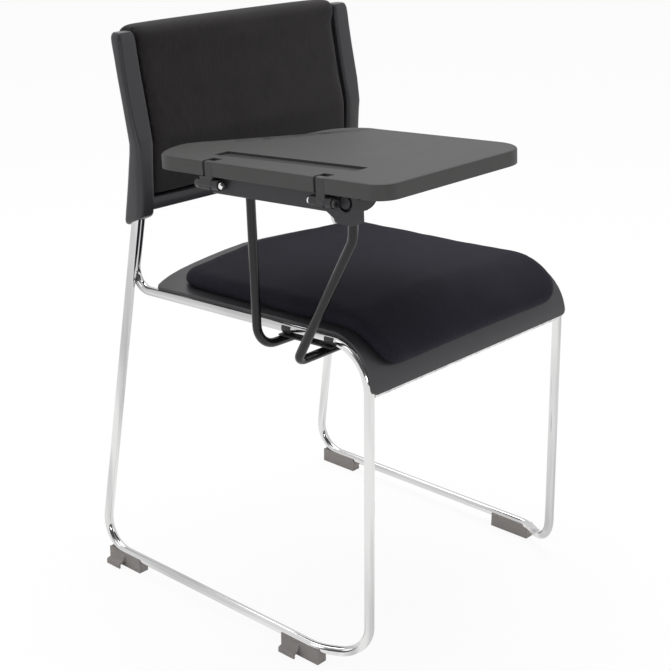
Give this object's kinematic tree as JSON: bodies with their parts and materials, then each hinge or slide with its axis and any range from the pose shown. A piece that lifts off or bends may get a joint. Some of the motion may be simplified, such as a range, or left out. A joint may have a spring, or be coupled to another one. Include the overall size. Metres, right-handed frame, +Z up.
{
  "type": "tablet arm chair",
  "caption": "Stacking side chair on bent chrome rod legs, with padded seat and back and a hinged writing tablet that lifts up at the sitter's right.",
  "frame": {"origin": "middle of the footprint box, on the floor", "axes": "+Z up from the floor, -Y the way the sitter faces, +X towards the sitter's left; the tablet is on the -X side"},
  "size_m": [0.5588, 0.6032, 0.8378],
  "materials": {
    "frame_chrome": "bright chrome plating on solid steel rod",
    "steel_screw": "bright steel screws",
    "black_screw": "black oxide screws",
    "shell_plastic": "moulded, fine grain with a soft sheen",
    "seat_fabric": "plain woven upholstery, dark grey with a blue tinge",
    "back_fabric": "plain woven upholstery, dark grey",
    "foot_plastic": "moulded glide, warm grey",
    "tablet_plastic": "moulded, fine grain writing surface",
    "black_metal": "black coated steel strip",
    "bracket_plastic": "moulded, fine grain",
    "polished_head": "polished domed heads",
    "rod_black": "satin black coated rod",
    "rest_rubber": "soft black pad"
  },
  "bodies": {
    "chair": {"side_frame_right": "frame_chrome", "side_frame_left": "frame_chrome", "front_cross_rod": "frame_chrome", "rear_cross_rod": "frame_chrome", "seat_tabs": "frame_chrome", "seat_screws": "steel_screw", "seat_shell": "shell_plastic", "seat_pad": "seat_fabric", "back_shell": "shell_plastic", "back_pad": "back_fabric", "back_screws": "black_screw", "foot_rear_right": "foot_plastic", "foot_front_right": "foot_plastic", "foot_rear_left": "foot_plastic", "foot_front_left": "foot_plastic", "tablet_bracket": "bracket_plastic", "pivot_sleeve_rear": "polished_head", "pivot_screw_rear": "black_screw", "pivot_sleeve_front": "polished_head", "pivot_screw_front": "black_screw", "socket_plug": "bracket_plastic", "rest_pad": "rest_rubber", "support_rod_rear": "rod_black", "support_rod_front": "rod_black", "clamp_plate": "black_metal", "rod_clip_rear": "black_metal", "rod_clip_front": "black_metal", "clamp_spacers": "bracket_plastic", "clamp_screws": "black_screw"},
    "tablet": {"tablet_top": "tablet_plastic", "hinge_arm_rear": "black_metal", "hinge_arm_front": "black_metal", "tablet_screws": "steel_screw"}
  },
  "joints": [
    {"name": "tablet_hinge", "type": "hinge", "parent": "chair", "child": "tablet", "pos_m": [-0.27145, -0.10356, 0.66882], "axis": [0, -0.9983, 0.0576], "range_deg": [0, 110]}
  ]
}
